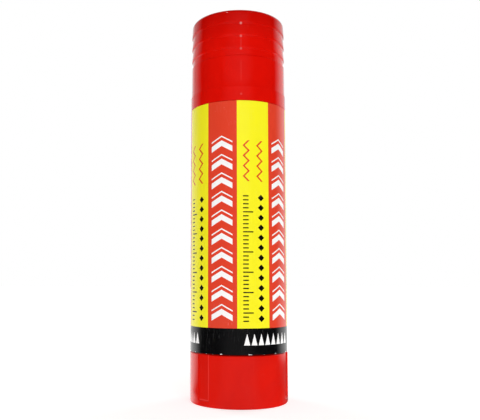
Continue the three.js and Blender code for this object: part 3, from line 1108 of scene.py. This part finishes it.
def cutRibGrooves(piece, base, top):
    # Grooves that clear the barrel's ribs
    for groove in range(barrelShape["ribCount"]):
        cutter = standingBar(
            groove * 360 / barrelShape["ribCount"],
            carrierShape["grooveRadius"],
            carrierSpan["radius"] + cutterReach,
            carrierShape["grooveWidth"],
            base,
            top,
            rounding=carrierShape["grooveRounding"],
        )
        combine(piece, cutter, "DIFFERENCE")


def makeCarrier(shape):
    base, top, outer = carrierSpan["base"], carrierSpan["top"], carrierSpan["radius"]
    floorBase = shape["hubTop"] - shape["floor"]
    carrier = turned("sliderCup", [
        (0, base),
        (shape["hub"], base, softRound),
        (shape["hub"], floorBase, broadRound),
        (shape["cup"], floorBase, broadRound),
        (shape["cup"], base, mediumRound),
        (outer, base, mediumRound),
        (outer, top, smallRound),
        (shape["cup"], top, softRound),
        (shape["cup"], shape["hubTop"], shape["cupRounding"]),
        (0, shape["hubTop"]),
    ], steps=128)
    nutTop = shape["hubTop"] + cutterReach
    nut = screwThread("nut", base - cutterReach, nutTop, shape["threadGap"])
    combine(carrier, nut, "DIFFERENCE")
    cutRibGrooves(carrier, base - cutterReach, top + cutterReach)
    finishPiece(carrier, "carrier", "carrier_cup", "natural_white", naturalPlastic)


makeCarrier(carrierShape)


# Glue: a cast block with a hole for the screw

glueShape = {
    "hole": 3.5,
    "holeAboveScrew": 1.0,
    "stem": 8.3,
    "ledgeAboveCup": 0.3,
    "topRounding": 0.7,
    "dimple": 0.2,
    "dimpleRadius": 5.0,
    "dimpleRounding": 4.0,
}
glueLook = {
    "colour": (0.90, 0.885, 0.815),
    "cloudColour": (0.84, 0.82, 0.73),
    "milkColour": (0.93, 0.925, 0.88),
    "cloud": {"Scale": 170, "Detail": 3, "Distortion": 1.5},
    "clouded": (0.4, 0.7),
    "vein": {"Scale": 420, "Detail": 2},
    "veined": (0.55, 0.75),
    "pinholes": {"scale": 520, "channel": "Green", "chosen": (0.84, 0.86), "size": (0.16, 0.06)},
    "pinholeDepth": 3.0,
    "waves": {"Scale": 700, "Detail": 4},
    "bumpDepth": 0.03,
    "roughness": (0.3, 0.7, 0.38, 0.52),
    "subsurface": {"Weight": 0.2, "Radius": (1.0, 0.9, 0.7), "Scale": 1.2 * mm},
}


def castGlue(look):
    # Waxy gel: faint clouds, soft casting waves and a few pinholes
    material, tree, shader = startMaterial("castGlue")
    place = objectPlace(tree)
    cloud = noise(tree, place, look["cloud"])
    clouded = ramp(tree, cloud, *look["clouded"])
    base = mixColour(tree, clouded, look["colour"], look["cloudColour"])
    veined = ramp(tree, noise(tree, place, look["vein"]), *look["veined"])
    base = mixColour(tree, veined, base, look["milkColour"])
    tree.links.new(base, shader.inputs["Base Color"])
    pinholes = rareDots(tree, place, look["pinholes"])
    waves = noise(tree, place, look["waves"])
    height = maths(tree, "MULTIPLY_ADD", pinholes, -look["pinholeDepth"], waves)
    connectBump(tree, shader, height, look["bumpDepth"])
    tree.links.new(ramp(tree, cloud, *look["roughness"]), shader.inputs["Roughness"])
    for name, value in look["subsurface"].items():
        shader.inputs["Subsurface " + name].default_value = value
    return material


def makeGlue(shape):
    base, top, outer = glueSpan["base"], glueSpan["top"], glueSpan["radius"]
    holeTop = spindleSpan["top"] + shape["holeAboveScrew"]
    ledge = carrierSpan["top"] + shape["ledgeAboveCup"]
    glue = turned("glueBlock", [
        (0, holeTop),
        (shape["hole"], holeTop, softRound),
        (shape["hole"], base, mediumRound),
        (shape["stem"], base, softRound),
        (shape["stem"], ledge, fineRound),
        (outer, ledge, fineRound),
        (outer, top, shape["topRounding"]),
        (shape["dimpleRadius"], top, shape["dimpleRounding"]),
        (0, top - shape["dimple"]),
    ], steps=128)
    cutRibGrooves(glue, ledge - cutterReach, top + cutterReach)
    finishPiece(glue, "carrier", "glue_stick", "glue", castGlue(glueLook))


makeGlue(glueShape)


# Floor, light and camera

studio = {
    "floorSize": 8.0,
    "floorShade": (0.9, 0.6),
    "floorGlow": (0.62, 1.0),
    "floorGlowReach": (0.03, 0.3),
    "darkPatch": (0.09, 0.13, 0.1, 1.0),
    "keyPlace": (0.12, -0.62, 0.30),
    "keySize": (0.42, 0.42),
    "keyPower": 2.14,
    "highPlaces": ((-0.24, -0.43, 0.5), (0.30, -0.40, 0.5)),
    "highSize": (0.02, 0.02),
    "highPower": 0.05,
    "backPlaces": ((-0.45, 0.45, 0.35), (0.45, 0.45, 0.35)),
    "backSize": (0.3, 0.3),
    "backPower": 1.3,
    "fill": 0.3,
    "bounceReach": (0.03, 0.3),
    "bounce": (0.9, 0.2),
    "nearShift": (0.0135, 0.028, 0.75, 0.1),
    "nearMirror": (0.2, 0.4, 0.35, 0.0),
    "mirrored": (0.2, 0.55, 0.0, 1.0),
    "front": (-0.72, -0.93, 0.0, 0.13),
    "patchSide": (0.1, -0.1),
    "sideBounce": (0, 0.8, 0.2, 1.0),
    "dimHighLeft": {
        "share": 0.4,
        "across": (0.03, -0.03),
        "rise": (0.12, 0.24),
        "towards": (0.78, 0.68),
    },
}


def lightPaths(tree):
    return tree.nodes.new("ShaderNodeLightPath").outputs


def makeFloor():
    bpy.ops.object.select_all(action="DESELECT")
    bpy.ops.mesh.primitive_plane_add(size=studio["floorSize"])
    floor = bpy.context.object
    floor.name = "floor"
    material, tree, shader = startMaterial("paleFloor")
    rays = lightPaths(tree)
    shade = ramp(tree, rays["Is Camera Ray"], 0, 1, *studio["floorShade"])
    seen = maths(tree, "SUBTRACT", 1, rays["Is Glossy Ray"])
    tree.links.new(times(tree, seen, shade), shader.inputs["Base Color"])
    shader.inputs["Roughness"].default_value = 0.9
    shader.inputs["Specular IOR Level"].default_value = 0.0
    shader.inputs["Emission Color"].default_value = (1, 1, 1, 1)
    place = objectPlace(tree)
    away = vectorMaths(tree, "LENGTH", place)["Value"]
    glow = ramp(tree, away, *studio["floorGlowReach"], *studio["floorGlow"])
    glow = times(tree, rays["Is Camera Ray"], glow)
    # The stick's sides mirror the floor behind it, which is dark close to the stick on its right.
    heading = axesOf(tree, vectorMaths(tree, "NORMALIZE", place)["Vector"])
    onLeft = ramp(tree, heading["X"], *studio["patchSide"])
    bright = maths(tree, "MAXIMUM", ramp(tree, away, *studio["darkPatch"]), onLeft)
    behind = plus(tree, heading["Y"], ramp(tree, away, *studio["nearShift"]))
    stronger = plus(tree, 1, ramp(tree, away, *studio["nearMirror"]))
    bright = times(tree, bright, stronger)
    mirrored = times(tree, ramp(tree, behind, *studio["mirrored"]), bright)
    mirrored = plus(tree, mirrored, ramp(tree, heading["Y"], *studio["front"]))
    mirrored = times(tree, rays["Is Glossy Ray"], mirrored)
    bounce = ramp(tree, away, *studio["bounceReach"], *studio["bounce"])
    sideways = ramp(tree, maths(tree, "ABSOLUTE", heading["X"]), *studio["sideBounce"])
    bounce = times(tree, rays["Is Diffuse Ray"], sideways, bounce)
    strength = plus(tree, glow, mirrored, bounce)
    tree.links.new(strength, shader.inputs["Emission Strength"])
    floor.data.materials.append(material)


def softLamp(name, place, size, power, aim, mirrored=True):
    bpy.ops.object.light_add(type="AREA", location=place)
    lamp = bpy.context.object
    lamp.name = name
    lamp.data.shape = "ELLIPSE"
    lamp.data.size, lamp.data.size_y = size
    lamp.data.energy = power
    lamp.rotation_euler = (Vector(aim) - Vector(place)).to_track_quat("-Z", "Y").to_euler()
    lamp.visible_glossy = mirrored


def makeWorld():
    # White behind the stick, which its sides mirror, and a dim room on the camera's side.
    world = bpy.data.worlds.new("softRoom")
    bpy.context.scene.world = world
    world.use_nodes = True
    tree = world.node_tree
    tree.nodes.clear()
    rays = lightPaths(tree)
    direction = addNode(tree, "ShaderNodeTexCoord").outputs["Generated"]
    axes = axesOf(tree, direction)
    towards = axes["Y"]
    mirrored = ramp(tree, towards, *studio["mirrored"])
    # High up on the left the room is a little dimmer.
    dim = studio["dimHighLeft"]
    onLeft = ramp(tree, axes["X"], *dim["across"])
    high = ramp(tree, axes["Z"], *dim["rise"])
    highLeft = times(tree, onLeft, high, ramp(tree, towards, *dim["towards"]))
    lessThere = maths(tree, "MULTIPLY_ADD", highLeft, -dim["share"], 1.0)
    mirrored = plus(tree, times(tree, mirrored, lessThere), ramp(tree, towards, *studio["front"]))
    plain = plus(tree, rays["Is Camera Ray"], rays["Is Transmission Ray"])
    other = times(tree, rays["Is Glossy Ray"], mirrored)
    diffuse = times(tree, rays["Is Diffuse Ray"], studio["fill"])
    background = addNode(tree, "ShaderNodeBackground", {
        "Color": (1, 1, 1, 1), "Strength": plus(tree, plain, other, diffuse),
    })
    output = tree.nodes.new("ShaderNodeOutputWorld")
    tree.links.new(background.outputs["Background"], output.inputs["Surface"])


middleOfStick = (0, 0, capSpan["top"] / 2 * mm)
makeFloor()
makeWorld()
key, keySize = studio["keyPlace"], studio["keySize"]
highSize, backSize = studio["highSize"], studio["backSize"]
softLamp("key", key, keySize, studio["keyPower"], middleOfStick, mirrored=False)
for side, high, back in zip(("Left", "Right"), studio["highPlaces"], studio["backPlaces"]):
    softLamp("high" + side, high, highSize, studio["highPower"], middleOfStick)
    softLamp("back" + side, back, backSize, studio["backPower"], middleOfStick, mirrored=False)
print("floor and lamps placed")

view = {
    "distance": 0.1712,
    "height": 0.03074,
    "lookUp": 5.41,
    "lookLeft": 2.91,
    "roll": 0.13,
    "lens": 47.95,
    "shiftX": 0.071,
    "shiftY": 0.025,
}
bpy.ops.object.camera_add(location=(0, -view["distance"], view["height"]))
camera = bpy.context.object
aim = Euler((math.radians(90 + view["lookUp"]), 0, math.radians(view["lookLeft"])))
aim = aim.to_matrix() @ Euler((0, 0, math.radians(view["roll"]))).to_matrix()
camera.rotation_euler = aim.to_euler()
camera.data.lens = view["lens"]
camera.data.shift_x = view["shiftX"]
camera.data.shift_y = view["shiftY"]
camera.data.clip_start = 0.01
bpy.context.scene.camera = camera
bpy.context.scene.view_settings.view_transform = "Standard"
